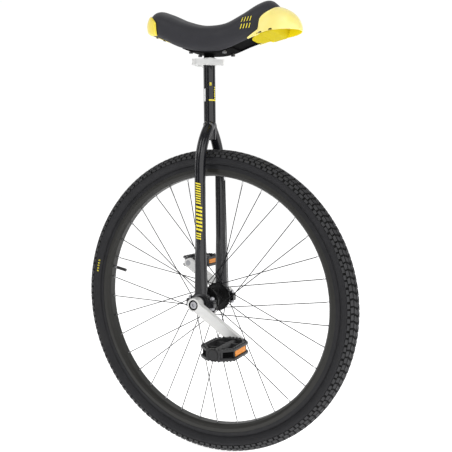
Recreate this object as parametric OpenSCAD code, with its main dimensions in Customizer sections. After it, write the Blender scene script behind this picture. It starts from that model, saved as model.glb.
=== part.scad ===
// Adult unicycle with a 28 inch wheel, fixed cranks and a banana saddle.
// Millimetres. +Z is up, +X is forward, and the axle lies along Y. The rider's right side is -Y.
// The origin is the point where the tyre touches the ground.

/* [Wheel] */
// Outer radius of the tyre, which is also the height of the axle
wheel_r = 358; // [350:0.5:364]
// Width of the tyre at its widest
tyre_w = 51; // [44:1:54]
// Radius of the rim's inner face, which the nipples stick out of
rim_inner_r = 294.4; // [293:0.2:296]
// Overall width of the rim
rim_w = 34; // [32:1:36]
// Angle of the first right-hand spoke at the rim
spoke_phase = 12.7; // [0:0.1:20]
// Angle of the valve round the rim, midway between two nipples
valve_angle = 167.7; // [160:0.1:175]

/* [Hub] */
// Distance from the wheel's middle to the middle of each flange
flange_y = 29.2; // [27:0.2:30]
// Radius of the circle of spoke holes
flange_hole_r = 30.4; // [28:0.2:31]
// Radius of each flange
flange_r = 33.5; // [33.5:0.5:35]
// Distance from the wheel's middle to the middle of each bearing
bearing_y = 50.5; // [50:0.5:52]

/* [Cranks and pedals] */
// Distance from the axle to the pedal's axis
crank_len = 132; // [114:1:150]
// How far the right crank points below straight ahead, in degrees
crank_angle = 32.5; // [0:0.5:90]
// Distance from the wheel's middle to the pedal's outer end
pedal_end_y = 201; // [198:1:204]
// Fore-and-aft width of the pedal
pedal_w = 78; // [74:1:84]
// Height of the pedal body without its studs
pedal_h = 23; // [23:0.5:26]

/* [Fork] */
// Outside radius of the fork legs
leg_r = 12.7; // [12:0.1:13]
// Radius that each leg is bent to, along its centre line
leg_bend_r = 160; // [155:1:165]
// Outside radius of the neck tube
neck_r = 14.3; // [14:0.1:15]
// Height of the neck's open lower end above the axle
neck_bottom = 381; // [378:1:383]
// Height of the neck's upper end above the axle
neck_top = 573; // [572:1:574]

/* [Seat] */
// Height of the clamp's skewer above the axle
skewer_up = 566; // [564:1:567]
// How far the closed lever points below level, in degrees
lever_tilt = 6; // [0:1:8]
// Thickness of the saddle's cover
cover_t = 2.2; // [1.5:0.1:3]

/* [Hidden] */
$fn = 64;
RIGHT = -1;
LEFT = 1;
SIDES = [RIGHT, LEFT];
run_gap = 0.05;    // radial clearance of a running fit
clear_gap = 0.3;   // room between neighbours that move apart
past = 1;          // how far a cutting tool runs past what it cuts
axle_z = wheel_r;

black_paint = [0.10, 0.10, 0.11];
bright_metal = [0.80, 0.81, 0.82];
grey_steel = [0.62, 0.63, 0.65];
black_plastic = [0.13, 0.13, 0.14];
yellow = [0.98, 0.88, 0.16];
amber = [0.95, 0.50, 0.10];
tyre_black = [0.16, 0.16, 0.17];

// ---- shared helpers ----

// Children round the axle: their +Z becomes +Y
module on_axle(y = 0) {
    translate([0, y, axle_z]) rotate([-90, 0, 0]) children();
}

// Children on one side of the wheel, from the distance `start` outwards: their +Z points outwards
module outward(side, start) {
    translate([0, side * start, axle_z]) rotate([-90 * side, 0, 0]) children();
}

// Children at an angle round the axle: their +X points away from it
module at_angle(a) {
    translate([0, 0, axle_z]) rotate([0, -a, 0]) children();
}

// A section of [radius, y] points turned round the axle
module turned(points) {
    on_axle() rotate_extrude($fn = 180) polygon(points);
}

// A straight round rod from p to q
module rod(p, q, r) {
    d = q - p;
    l = norm(d);
    translate(p) rotate([0, acos(d[2] / l), atan2(d[1], d[0])]) cylinder(h = l, r = r);
}

module tube(h, r, bore) {
    difference() {
        cylinder(h = h, r = r);
        translate([0, 0, -past]) cylinder(h = h + 2 * past, r = bore);
    }
}

// A solid through a list of rings of points, all rings having the same number of points
module loft(rings) {
    n = len(rings[0]);
    last = len(rings) - 1;
    polyhedron(
        points = [for (ring = rings) for (p = ring) p],
        faces = concat(
            [for (i = [0:last - 1]) for (j = [0:n - 1])
                [i * n + j, i * n + (j + 1) % n, (i + 1) * n + (j + 1) % n, (i + 1) * n + j]],
            [[for (j = [n - 1:-1:0]) j], [for (j = [0:n - 1]) last * n + j]]
        )
    );
}

// ---- fork ----

post_r = 12.7;
leg_wall = 1.6;
bend_start = 301;       // height above the axle where each leg starts to bend
bend_angle = 48;        // the bend runs on into the neck, where the leg is cut to fit
leg_foot_r = 16;        // each leg widens to this at its foot, and its sides stay flat
leg_flare_top = 150;    // height above the axle where it starts to widen
housing_r = 24.5;
bead_size = 2.2;
slit_w = 2;
slit_h = 38;

module neck_core(r, extra = 0) {
    translate([0, 0, axle_z + neck_bottom - extra])
        cylinder(h = neck_top - neck_bottom + 2 * extra, r = r);
}

module neck_tube() {
    color(black_paint) difference() {
        neck_core(neck_r);
        neck_core(post_r + run_gap, past);
        translate([-2 * neck_r, -slit_w / 2, axle_z + neck_top - slit_h])
            cube([2 * neck_r, slit_w, slit_h + past]);
    }
}

// The bent upper part of a leg, as a solid of radius r
module leg_bend(side, r) {
    translate([0, side * (bearing_y - leg_bend_r), axle_z + bend_start])
        rotate([90, 0, 90 * side])
        rotate_extrude(angle = bend_angle, $fn = 180)
        translate([leg_bend_r, 0]) circle(r = r);
}

module leg_core(side, r, foot_r) {
    translate([0, side * bearing_y, axle_z]) {
        intersection() {
            cylinder(h = leg_flare_top, r1 = foot_r, r2 = r);
            translate([-foot_r, -r, 0]) cube([2 * foot_r, 2 * r, leg_flare_top]);
        }
        translate([0, 0, leg_flare_top]) cylinder(h = bend_start - leg_flare_top, r = r);
    }
    leg_bend(side, r);
}

module fork_leg(side) {
    color(black_paint) difference() {
        leg_core(side, leg_r, leg_foot_r);
        leg_core(side, leg_r - leg_wall, leg_foot_r - leg_wall);
        neck_core(neck_r);
        on_axle(side * bearing_y - leg_foot_r) cylinder(h = 2 * leg_foot_r, r = housing_r);
    }
}
module right_fork_leg() { fork_leg(RIGHT); }
module left_fork_leg() { fork_leg(LEFT); }

module weld_beads() {
    color(black_paint) for (side = SIDES) difference() {
        intersection() {
            leg_bend(side, leg_r + bead_size);
            neck_core(neck_r + bead_size);
        }
        leg_bend(side, leg_r);
        neck_core(neck_r);
    }
}

// ---- bearing housings ----

bearing_w = 12;
bearing_r = 20;
bearing_bore_r = 8.5;
housing_w = 14;
split_gap = 1;
ear_x = 29;             // the bolts stand this far before and behind the axle
ear_half = 7;
upper_ear_h = 8;
lower_ear_h = 10;
bolt_r = 3;
bolt_hole_r = 3.3;

// Half of a housing, with its ears: up is 1 for the fixed half and -1 for the cap
module housing_half(side, up, ear_h) {
    reach = ear_x + ear_half;
    translate([0, side * bearing_y, axle_z]) difference() {
        union() {
            rotate([90, 0, 0]) cylinder(h = housing_w, r = housing_r, center = true);
            translate([-reach, -housing_w / 2, up > 0 ? 0 : -ear_h]) cube([2 * reach, housing_w, ear_h]);
        }
        rotate([90, 0, 0]) cylinder(h = housing_w + 2 * past, r = bearing_r, center = true);
        translate([-2 * reach, -housing_w, up > 0 ? split_gap / 2 - 2 * reach : -split_gap / 2])
            cube([4 * reach, 2 * housing_w, 2 * reach]);
        for (x = [-ear_x, ear_x]) translate([x, 0, -reach]) cylinder(h = 2 * reach, r = bolt_hole_r);
    }
}
module right_bearing_housing() { color(black_paint) housing_half(RIGHT, 1, upper_ear_h); }
module left_bearing_housing() { color(black_paint) housing_half(LEFT, 1, upper_ear_h); }
module right_bearing_cap() { color(black_paint) housing_half(RIGHT, -1, lower_ear_h); }
module left_bearing_cap() { color(black_paint) housing_half(LEFT, -1, lower_ear_h); }

module at_housing_bolts() {
    for (side = SIDES) for (x = [-ear_x, ear_x]) translate([x, side * bearing_y, axle_z]) children();
}

module housing_bolts() {
    head_h = 6;
    socket_r = 2.9;
    color(bright_metal) at_housing_bolts() difference() {
        union() {
            translate([0, 0, -lower_ear_h]) cylinder(h = lower_ear_h + upper_ear_h + 6.5, r = bolt_r);
            translate([0, 0, -lower_ear_h - head_h]) cylinder(h = head_h, r = 5);
        }
        translate([0, 0, -lower_ear_h - head_h - past]) cylinder(h = 3.5 + past, r = socket_r, $fn = 6);
    }
}

module housing_nuts() {
    color(bright_metal) at_housing_bolts() translate([0, 0, upper_ear_h]) difference() {
        cylinder(h = 5, r = 5.5, $fn = 6);
        translate([0, 0, -past]) cylinder(h = 5 + 2 * past, r = bolt_r);
    }
}

// ---- bearings ----

ball_r = 3.4;
ball_pitch_r = 14.25;
race_r = ball_r + run_gap;
balls_per_bearing = 8;
cage_half = 2.6;

module bearing_ring(side, inner, outer) {
    color(grey_steel) outward(side, bearing_y - bearing_w / 2) difference() {
        tube(bearing_w, outer, inner);
        translate([0, 0, bearing_w / 2]) rotate_extrude() translate([ball_pitch_r, 0]) circle(r = race_r);
    }
}
module right_bearing_outer_ring() { bearing_ring(RIGHT, 16.6, bearing_r); }
module left_bearing_outer_ring() { bearing_ring(LEFT, 16.6, bearing_r); }
module right_bearing_inner_ring() { bearing_ring(RIGHT, bearing_bore_r, 11.9); }
module left_bearing_inner_ring() { bearing_ring(LEFT, bearing_bore_r, 11.9); }

module ball_set(side) {
    color(bright_metal) outward(side, bearing_y) {
        for (i = [0:balls_per_bearing - 1]) rotate(i * 360 / balls_per_bearing)
            translate([ball_pitch_r, 0, 0]) sphere(r = ball_r);
        difference() {
            translate([0, 0, -cage_half]) tube(2 * cage_half, ball_pitch_r + 0.6, ball_pitch_r - 0.6);
            for (i = [0:balls_per_bearing - 1]) rotate(i * 360 / balls_per_bearing)
                translate([ball_pitch_r, 0, 0]) sphere(r = ball_r + 0.1);
        }
    }
}
module right_bearing_balls() { ball_set(RIGHT); }
module left_bearing_balls() { ball_set(LEFT); }

module bearing_seals() {
    seal_t = 1;
    color(black_plastic) for (side = SIDES) for (edge = [0.2, bearing_w - seal_t - 0.2])
        outward(side, bearing_y - bearing_w / 2 + edge) tube(seal_t, 16.6, 11.9 + clear_gap);
}

// ---- seat clamp ----

collar_h = 15;
collar_r = 18.2;
skewer_x = -27;
skewer_r = 2.5;
ear_y = 9;              // outer face of each ear of the collar
cam_r = 8;
cam_offset = 1;         // how far the cam's round is off the pin
pin_y = -(ear_y + 3 + clear_gap + cam_r + cam_offset);
pin_r = 3;
lever_h = 14.3;

// Children at the skewer's middle, turned as the closed lever is
module at_skewer() {
    translate([skewer_x, 0, axle_z + skewer_up]) rotate([0, lever_tilt, 0]) children();
}

module seat_collar() {
    z = axle_z + neck_top + past - collar_h;
    color(bright_metal) difference() {
        union() {
            translate([0, 0, z]) cylinder(h = collar_h, r = collar_r);
            translate([skewer_x - 7, -ear_y, z]) cube([7 - skewer_x, 2 * ear_y, collar_h]);
        }
        translate([0, 0, z - past]) cylinder(h = collar_h + 2 * past, r = neck_r);
        translate([skewer_x - 8, -1.25, z - past]) cube([-skewer_x, 2.5, collar_h + 2 * past]);
        at_skewer() rotate([90, 0, 0]) cylinder(h = 40, r = skewer_r + 0.3, center = true);
    }
}

module collar_skewer() {
    eye_h = 5.6;
    color(bright_metal) at_skewer() difference() {
        union() {
            rotate([90, 0, 0]) translate([0, 0, -22]) cylinder(h = 22 - pin_y, r = skewer_r);
            translate([0, pin_y, -eye_h / 2]) cylinder(h = eye_h, r = 5);
        }
        translate([0, pin_y, -eye_h]) cylinder(h = 2 * eye_h, r = pin_r);
    }
}

module lever_pin() {
    color(grey_steel) at_skewer() translate([0, pin_y, -lever_h / 2]) cylinder(h = lever_h, r = pin_r);
}

module cam_washer() {
    color(black_plastic) at_skewer() translate([0, -ear_y, 0]) rotate([90, 0, 0]) tube(3, 6.5, skewer_r + 0.1);
}

// The lever's outline seen from above, with the pin at the origin: a round cam, then a blade
// that leans in towards the neck at its tip
module clamp_lever() {
    blade = 75;
    blade_t = 4.2;
    slot_h = 6.4;
    color(bright_metal) at_skewer() translate([0, pin_y, -lever_h / 2]) difference() {
        union() {
            translate([0, cam_offset, 0]) cylinder(h = lever_h, r = cam_r);
            linear_extrude(lever_h) polygon([[-2, -6], [-2, 0], [12, -6 + blade_t], [40, -4.6 + blade_t], [blade, 3 + blade_t],
                [blade + 1.5, 3.5], [blade - 0.5, 2.4], [42, -5], [20, -7.4], [8, -7.6]]);
        }
        translate([0, 0, -past]) cylinder(h = lever_h + 2 * past, r = pin_r + run_gap);
        translate([-cam_r - past, -cam_r * 0.75, (lever_h - slot_h) / 2])
            cube([cam_r + 6.5 + past, 2.5 * cam_r, slot_h]);
    }
}

module clamp_nut() {
    h = 9;
    color(bright_metal) at_skewer() translate([0, ear_y + clear_gap, 0]) rotate([-90, 0, 0]) difference() {
        union() {
            cylinder(h = h, r = 5.5);
            translate([0, 0, 2]) for (i = [0:7]) rotate(i * 45) translate([5, 0, 0]) cylinder(h = h - 2, r = 1.8);
        }
        translate([0, 0, -past]) cylinder(h = h + 2 * past, r = skewer_r + run_gap);
    }
}

// ---- seat post ----

post_bore_r = 11;
post_split = 575.6;     // height above the axle of the joint between post and bracket
post_len = 170;

module seat_post() {
    color(black_paint) translate([0, 0, axle_z + post_split - post_len]) tube(post_len, post_r, post_bore_r);
}

// ---- saddle form ----

// The saddle from rear to front: x, height of the crown, height of the lower edge,
// half width at the widest, and half width at the lower edge. Heights are above the axle.
saddle_table = [
    [-159, 672, 655, 16, 12], [-152, 684, 648, 31, 25], [-128, 701.5, 634.5, 52, 44], [-98, 694, 622, 65, 55],
    [-50, 670.5, 598, 62, 49], [0, 654, 586, 52, 38], [50, 651, 585, 45, 31], [100, 667, 598, 46, 31],
    [140, 685, 609, 46, 35], [165, 689, 617, 42, 33], [182, 676, 626, 33, 27], [190, 660, 637, 22, 16]
];
CROWN = 1;
LOW = 2;
WIDE = 3;
LOW_WIDE = 4;
saddle_rows = len(saddle_table);
saddle_back = saddle_table[0][0];
saddle_front = saddle_table[saddle_rows - 1][0];
saddle_sections = 29;
ring_steps = 9;

function row_at(x, i = 0) = (i >= saddle_rows - 2 || x < saddle_table[i + 1][0]) ? i : row_at(x, i + 1);
function slope_at(i, column) =
    let (a = saddle_table[max(i - 1, 0)], b = saddle_table[min(i + 1, saddle_rows - 1)])
    (b[column] - a[column]) / (b[0] - a[0]);
// A smooth curve through one column of the table
function saddle_at(column, x) =
    let (
        i = row_at(x),
        a = saddle_table[i],
        b = saddle_table[i + 1],
        h = b[0] - a[0],
        u = (x - a[0]) / h
    )
    (2 * u * u * u - 3 * u * u + 1) * a[column] + (u * u * u - 2 * u * u + u) * h * slope_at(i, column)
    + (3 * u * u - 2 * u * u * u) * b[column] + (u * u * u - u * u) * h * slope_at(i + 1, column);

// Half width of the saddle at x and height z, drawn in by `inset`
function half_width(x, z, inset) =
    let (
        crown = saddle_at(CROWN, x) - inset,
        low = saddle_at(LOW, x),
        middle = (crown + low) / 2,
        wide = saddle_at(WIDE, x) - inset,
        low_wide = saddle_at(LOW_WIDE, x) - inset
    )
    z > middle
        ? wide * sqrt(max(0, 1 - pow((z - middle) / (crown - middle), 2)))
        : low_wide + (wide - low_wide) * sqrt(max(0, 1 - pow((middle - z) / (middle - low), 2)));

// One section across the saddle, from `rise` above the lower edge up to the crown
function saddle_ring(x, inset, rise) =
    let (
        bottom = saddle_at(LOW, x) + rise,
        top = saddle_at(CROWN, x) - inset,
        heights = [for (k = [0:ring_steps]) bottom + (top - bottom) * sin(90 * k / ring_steps)]
    )
    concat(
        [for (k = [0:ring_steps]) [x, -half_width(x, heights[k], inset), heights[k]]],
        [for (k = [ring_steps - 1:-1:0]) [x, half_width(x, heights[k], inset), heights[k]]]
    );

function saddle_rings(inset, rise) = [
    for (i = [0:saddle_sections - 1])
        saddle_ring(saddle_back + inset + (saddle_front - saddle_back - 2 * inset) * i / (saddle_sections - 1),
            inset, rise)
];

// A skin of the saddle's form, open underneath
module saddle_skin(t) {
    n = 2 * ring_steps + 1;
    last = saddle_sections - 1;
    inner = saddle_sections * n;
    end = last * n;
    translate([0, 0, axle_z]) polyhedron(
        points = [for (ring = concat(saddle_rings(0, 0), saddle_rings(t, 0))) for (p = ring) p],
        faces = concat(
            [for (i = [0:n:end - n]) for (j = [i:i + n - 2]) [j, j + 1, j + n + 1, j + n]],
            [for (i = [inner:n:inner + end - n]) for (j = [i:i + n - 2]) [j + n, j + n + 1, j + 1, j]],
            [for (i = [0:n:end - n]) [inner + i, i, i + n, inner + i + n]],
            [for (i = [n - 1:n:end - 1]) [i, inner + i, inner + i + n, i + n]],
            [
                [for (j = [n - 1:-1:0]) j],
                [for (j = [0:n - 1]) end + j],
                [for (j = [0:n - 1]) inner + j],
                [for (j = [n - 1:-1:0]) inner + end + j],
                [n - 1, 0, inner, inner + n - 1],
                [end, end + n - 1, inner + end + n - 1, inner + end]
            ]
        )
    );
}

// A curved plate that follows the saddle's lower edge, between two heights above it
module saddle_slab(x0, x1, rise, thick, width, sections = 16, inset = 2 * cover_t) {
    translate([0, 0, axle_z]) loft([
        for (i = [0:sections - 1])
            let (
                x = x0 + (x1 - x0) * i / (sections - 1),
                low = saddle_at(LOW, x),
                y = min(width, half_width(x, low + rise, inset))
            )
            [[x, -y, low + rise], [x, -y, low + rise + thick], [x, y, low + rise + thick], [x, y, low + rise]]
    ]);
}

// ---- saddle ----

base_rise = 3;
foam_gap = 2.0;          // between the foam and the cover, whose facets don't match
base_t = 5;
bracket_t = 4;
bracket_rise = base_rise - bracket_t - 0.05;
stud_x = [-37, 53];
stud_y = 22;
stud_r = 3;

module at_studs() {
    for (x = stud_x) for (side = SIDES) translate([x, side * stud_y, axle_z + saddle_at(LOW, x)]) children();
}

module saddle_bracket() {
    color(black_paint) difference() {
        union() {
            saddle_slab(-56, 72, bracket_rise, bracket_t, 30);
            difference() {
                translate([0, 0, axle_z + post_split + clear_gap]) cylinder(h = 12, r = post_r);
                saddle_slab(-56, 72, bracket_rise + 2, 40, 30);
            }
        }
        at_studs() translate([0, 0, -20]) cylinder(h = 40, r = stud_r + 0.4);
        translate([0, 0, axle_z + post_split - past]) cylinder(h = 9, r = post_bore_r);
    }
}

module saddle_base() {
    color(black_plastic) difference() {
        saddle_slab(-146, 176, base_rise, base_t, 200, 31, 3.5 * cover_t);
        at_studs() cylinder(h = 40, r = stud_r);
        at_bumper_screws() cylinder(h = 40, r = 2);
    }
}

module saddle_studs() {
    color(bright_metal) at_studs() translate([0, 0, -6.6]) cylinder(h = 5.6 + base_rise + base_t, r = stud_r);
}

module saddle_nuts() {
    h = 3.8;
    color(bright_metal) at_studs() translate([0, 0, bracket_rise - 1.4 - h]) difference() {
        cylinder(h = h, r = 5.6, $fn = 6);
        translate([0, 0, -past]) cylinder(h = h + 2 * past, r = stud_r);
    }
}

module saddle_foam() {
    color([0.30, 0.30, 0.32]) translate([0, 0, axle_z])
        loft(saddle_rings(cover_t + foam_gap, base_rise + base_t + 0.2));
}

module saddle_cover() {
    color([0.20, 0.20, 0.22]) saddle_skin(cover_t);
}

// ---- bumpers ----

bumper_t = 3;
bumper_rows = 6;
tab_t = 2.8;
tab_gap = 0.1;          // between a tab and the cover's hem above it

// A shell through a grid of [inner, outer] points: columns of rows
module shell(columns) {
    translate([0, 0, axle_z]) loft([
        for (column = columns) concat(
            [for (pair = column) pair[1]],
            [for (i = [len(column) - 1:-1:0]) column[i][0]]
        )
    ]);
}

// The flap of a bumper that is screwed up against the saddle's base
module bumper_tab(x0, x1, width) {
    saddle_slab(x0, x1, -tab_gap - tab_t, tab_t, width, 6, -20);
}

module screw_holes() {
    at_bumper_screws() {
        translate([0, 0, -10]) cylinder(h = 20, r = 2.2);
        translate([0, 0, -2.4]) cylinder(h = 1.9, r1 = 4, r2 = 2.1);
        translate([0, 0, -9]) cylinder(h = 6.7, r = 4);
    }
}

// The front bumper is the upper front part of an egg shape, cut off by its lower rim and,
// towards the rear, by a curved seam against the cover. Its sides are squarer than its nose
egg_centre = [165, 0, 615];
egg_size = [71, 47, 58];
// Height of the seam at each distance forward
seam_curve = [[147, 614], [148.5, 622], [149.5, 631], [153, 640], [161, 648.5], [177, 659], [189, 669], [260, 700]];
bumper_gap = 1.1;       // between a bumper's inside and the cover
egg_reach = 104;        // how far round the egg's side the bumper comes, in degrees from the front
tail_x = 118;

function egg_power(u) = 1 - 0.28 * pow(sin(u), 2);
function egg_point(u, v, shrink) =
    let (
        size = egg_size - shrink * [1, 1, 1],
        out = pow(max(0, cos(v)), egg_power(u)),
        up = sign(v) * pow(abs(sin(v)), egg_power(u))
    )
    egg_centre + [size[0] * out * cos(u), size[1] * out * sin(u), size[2] * up];
function egg_rim(u) =
    let (up = 1.5 * cos(u) - 3.5) sign(up) * asin(pow(abs(up) / egg_size[2], 1 / egg_power(u)));
// How high the meridian at u runs before it meets the seam
function egg_seam(u, low, high, tries = 20) =
    let (middle = (low + high) / 2, p = egg_point(u, middle, 0))
    tries == 0 ? low
    : p[2] < lookup(p[0], seam_curve) ? egg_seam(u, middle, high, tries - 1) : egg_seam(u, low, middle, tries - 1);
// A point moved sideways, if need be, until it is `gap` outside the cover
function off_cover(p, gap) =
    let (w = p[0] > saddle_front - 1 ? 0 : half_width(p[0], p[2], 0) + gap)
    abs(p[1]) < w ? [p[0], sign(p[1]) * w, p[2]] : p;
function egg_column(u) =
    let (rim_v = egg_rim(u), seam_v = egg_seam(u, rim_v, 90)) [
        for (i = [0:bumper_rows])
            let (v = rim_v + (seam_v - rim_v) * i / bumper_rows)
            [
                off_cover(egg_point(u, v, bumper_t), bumper_gap),
                off_cover(egg_point(u, v, 0), bumper_gap + bumper_t)
            ]
    ];
// The thin tail that runs back along the cover's hem, at one distance back
function tail_column(side, x) = [
    for (i = [0:bumper_rows])
        let (
            z = saddle_at(LOW, x) - 2 + 5 * i / bumper_rows,
            y = half_width(x, z, 0) + 0.2 + 0.4 * sin(180 * i / bumper_rows)
        )
        [[x, side * y, z], [x, side * (y + bumper_t), z]]
];

module front_bumper() {
    color(yellow) difference() {
        union() {
            shell(concat(
                [for (x = [tail_x, 132]) tail_column(RIGHT, x)],
                [for (u = [-egg_reach:8:egg_reach]) egg_column(u)],
                [for (x = [132, tail_x]) tail_column(LEFT, x)]
            ));
            bumper_tab(151, 181, 45);
        }
        for (side = SIDES) translate([164, side * 29 - 4, axle_z + 605]) cube([12, 8, 22]);
        screw_holes();
    }
}

// The rear bumper is the saddle's own rear end, taken a little further out. Each of its points
// lies on a line from a point inside the saddle
rear_eye = [-105, 0, 661];
rear_reach = 86;

function inside_saddle(p) =
    p[0] > saddle_back && p[2] > saddle_at(LOW, p[0]) && p[2] < saddle_at(CROWN, p[0])
    && abs(p[1]) < half_width(p[0], p[2], 0);
// How far a line from the eye runs before it leaves the saddle
function way_out(d, near = 20, far = 110, tries = 16) =
    tries == 0 ? far
    : let (half = (near + far) / 2)
      inside_saddle(rear_eye + half * d) ? way_out(d, half, far, tries - 1) : way_out(d, near, half, tries - 1);
function rear_column(u) = [
    for (i = [0:bumper_rows])
        let (
            round = pow(abs(u) / rear_reach, 2),
            v = (-25 - 3 * round) * (1 - i / bumper_rows) + (30 - 31 * round) * i / bumper_rows,
            d = [-cos(v) * cos(u), cos(v) * sin(u), sin(v)],
            out = way_out(d)
        )
        [rear_eye + (out + bumper_gap) * d, rear_eye + (out + bumper_gap + bumper_t) * d]
];

module rear_bumper() {
    color(yellow) difference() {
        union() {
            shell([for (u = [rear_reach:-8.6:-rear_reach]) rear_column(u)]);
            bumper_tab(-148, -120, 40);
        }
        screw_holes();
    }
}

module at_bumper_screws() {
    for (x = [-136, 158]) for (side = SIDES)
        translate([x, side * 16, axle_z + saddle_at(LOW, x)])
            rotate([0, -atan((saddle_at(LOW, x + 4) - saddle_at(LOW, x - 4)) / 8), 0]) children();
}

// Countersunk screws, square to the slope of the saddle's base
module bumper_screws() {
    color(grey_steel) at_bumper_screws() difference() {
        union() {
            translate([0, 0, -1]) cylinder(h = base_rise + base_t - 0.6, r = 2);
            translate([0, 0, -2.4]) cylinder(h = 1.8, r1 = 3.9, r2 = 2);
        }
        translate([0, 0, -3]) cylinder(h = 1.6, r = 1.4, $fn = 6);
    }
}

// ---- rim, tyre and tube ----

bead_seat_r = 311;
flange_tip_r = 317.5;
rim_half = rim_w / 2;
bead_half = rim_half - 1.8;
nipple_y = 1.9;
tyre_mid_r = wheel_r - 21;

// Part of the tyre's round, with half width b and half height h, from one angle to another
function tyre_arc(b, h, from, to) = [
    for (i = [0:28]) let (a = from + (to - from) * i / 28) [tyre_mid_r + h * sin(a), b * cos(a)]
];

module tyre() {
    b = tyre_w / 2;
    bead = [[bead_seat_r + 0.6, bead_half - 0.1], [flange_tip_r + 0.5, bead_half - 0.1]];
    bead_inside = [[flange_tip_r - 0.5, bead_half - 3.4], [bead_seat_r + 0.6, bead_half - 3.4]];
    function flip(points) = [for (i = [len(points) - 1:-1:0]) [points[i][0], -points[i][1]]];
    color(tyre_black) turned(concat(
        bead, tyre_arc(b, 21, -50, 230), flip(bead),
        flip(bead_inside), tyre_arc(b - 3, 17, 228, -48), bead_inside
    ));
}

module inner_tube() {
    tube_t = 1;
    module air(shrink) {
        polygon(concat(
            [[309.2 + shrink, 8 - shrink], [317, 10.5 - shrink]],
            tyre_arc(tyre_w / 2 - 3.4 - shrink, 16.6 - shrink, -46, 226),
            [[317, shrink - 10.5], [309.2 + shrink, shrink - 8]]
        ));
    }
    color([0.12, 0.12, 0.12]) on_axle() rotate_extrude($fn = 180) difference() {
        air(0);
        air(tube_t);
    }
}

module rim_tape() {
    color([0.75, 0.2, 0.15]) turned([[307.7, -8.8], [308.9, -8.8], [308.9, 8.8], [307.7, 8.8]]);
}

module rim() {
    r = rim_inner_r;
    half = [[flange_tip_r, bead_half], [flange_tip_r, rim_half], [r + 8.6, rim_half], [r + 3.6, rim_half - 2.5],
        [r, 8]];
    well = [[307.6, 9], [310.6, 11.2], [bead_seat_r, bead_half]];
    box = [[305.8, 9.6], [308.8, 11.6], [309, bead_half], [r + 9.2, bead_half], [r + 4.8, rim_half - 3.8],
        [r + 2, 7.4]];
    function mirrored(points) = [for (i = [len(points) - 1:-1:0]) [points[i][0], -points[i][1]]];
    color([0.27, 0.27, 0.25]) difference() {
        turned(concat(half, mirrored(half), mirrored(well), well));
        turned(concat(box, mirrored(box)));
        for (a = rim_angles) at_angle(a) translate([r - 3, nipple_side(a) * nipple_y, 0])
            rotate([0, 90, 0]) cylinder(h = 7, r = 2.6);
        at_angle(valve_angle) translate([r - 3, 0, 0]) rotate([0, 90, 0]) cylinder(h = 20, r = valve_r + 0.3);
    }
}

// ---- spokes ----

spoke_r = 1;
cross_angle = 60;       // each spoke runs this far round the wheel, which crosses three others
elbow_y = 3.8;          // from a flange's middle to the spoke's line
elbow_r = 1.05;
rim_angles = [for (i = [0:35]) spoke_phase + 10 * i];

// Right-hand spokes and left-hand spokes take turns round the rim
function nipple_side(a) = round((a - spoke_phase) / 10) % 2 == 0 ? RIGHT : LEFT;
// Of the spokes on one side, every other one leads and the rest trail
function turn_of(a) =
    let (i = round((a - spoke_phase) / 10) % 4)
    i == 2 || i == 3 ? cross_angle : -cross_angle;
function polar(r, a, y) = [r * cos(a), y, axle_z + r * sin(a)];
function elbow_of(a) =
    let (side = nipple_side(a), out = turn_of(a) > 0 ? 1 : -1)
    polar(flange_hole_r, a - turn_of(a), side * (flange_y + out * elbow_y));
function rim_end(a) = polar(rim_inner_r + 0.6, a, nipple_side(a) * nipple_y);
// The point on a spoke's line at a distance beyond the rim's inner face
function along_spoke(a, beyond) =
    let (p = elbow_of(a), q = rim_end(a)) q + (q - p) / norm(q - p) * beyond;

module spoke(a) {
    side = nipple_side(a);
    out = turn_of(a) > 0 ? 1 : -1;
    p = elbow_of(a);
    inwards = [0, -side * out, 0];
    rod(p, along_spoke(a, -3), spoke_r);
    rod(p - inwards * spoke_r, p + inwards * (elbow_y + 2.4), elbow_r);
    rod(p + inwards * (elbow_y + 2.2), p + inwards * (elbow_y + 3.4), 1.9);
}

module spokes(side) {
    color([0.2, 0.2, 0.21]) for (a = rim_angles) if (nipple_side(a) == side) spoke(a);
}
module right_spokes() { spokes(RIGHT); }
module left_spokes() { spokes(LEFT); }

module spoke_nipples() {
    color(bright_metal) for (a = rim_angles) difference() {
        union() {
            rod(along_spoke(a, -9), along_spoke(a, 3), 2);
            rod(along_spoke(a, 2.3), along_spoke(a, 4.5), 2.9);
        }
        rod(along_spoke(a, -10), along_spoke(a, -2.8), spoke_r);
    }
}

// ---- valve ----

valve_r = 3;

module valve_stem() {
    color(grey_steel) at_angle(valve_angle) translate([262, 0, 0]) rotate([0, 90, 0]) cylinder(h = 45.5, r = valve_r);
}

module valve_cap() {
    color(black_plastic) at_angle(valve_angle) translate([258, 0, 0]) rotate([0, 90, 0]) difference() {
        cylinder(h = 27, r = 3.9);
        translate([0, 0, 4]) cylinder(h = 24, r = valve_r);
    }
}

// ---- hub ----

hub_bore_r = 10;
flange_t = 3.2;

module hub_shell() {
    color(black_plastic) difference() {
        on_axle() {
            translate([0, 0, -flange_y - 3]) cylinder(h = 2 * flange_y + 6, r = 17);
            for (side = SIDES) translate([0, 0, side * flange_y - flange_t / 2]) cylinder(h = flange_t, r = flange_r);
        }
        on_axle(-60) cylinder(h = 120, r = hub_bore_r);
        for (a = rim_angles) at_angle(a - turn_of(a))
            translate([flange_hole_r, nipple_side(a) * flange_y, 0]) rotate([90, 0, 0])
            cylinder(h = flange_t + 2 * past, r = spoke_r + 0.2, center = true);
    }
}

square_half = 6.2;
square_start = 62;
axle_end = 83.5;

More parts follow.
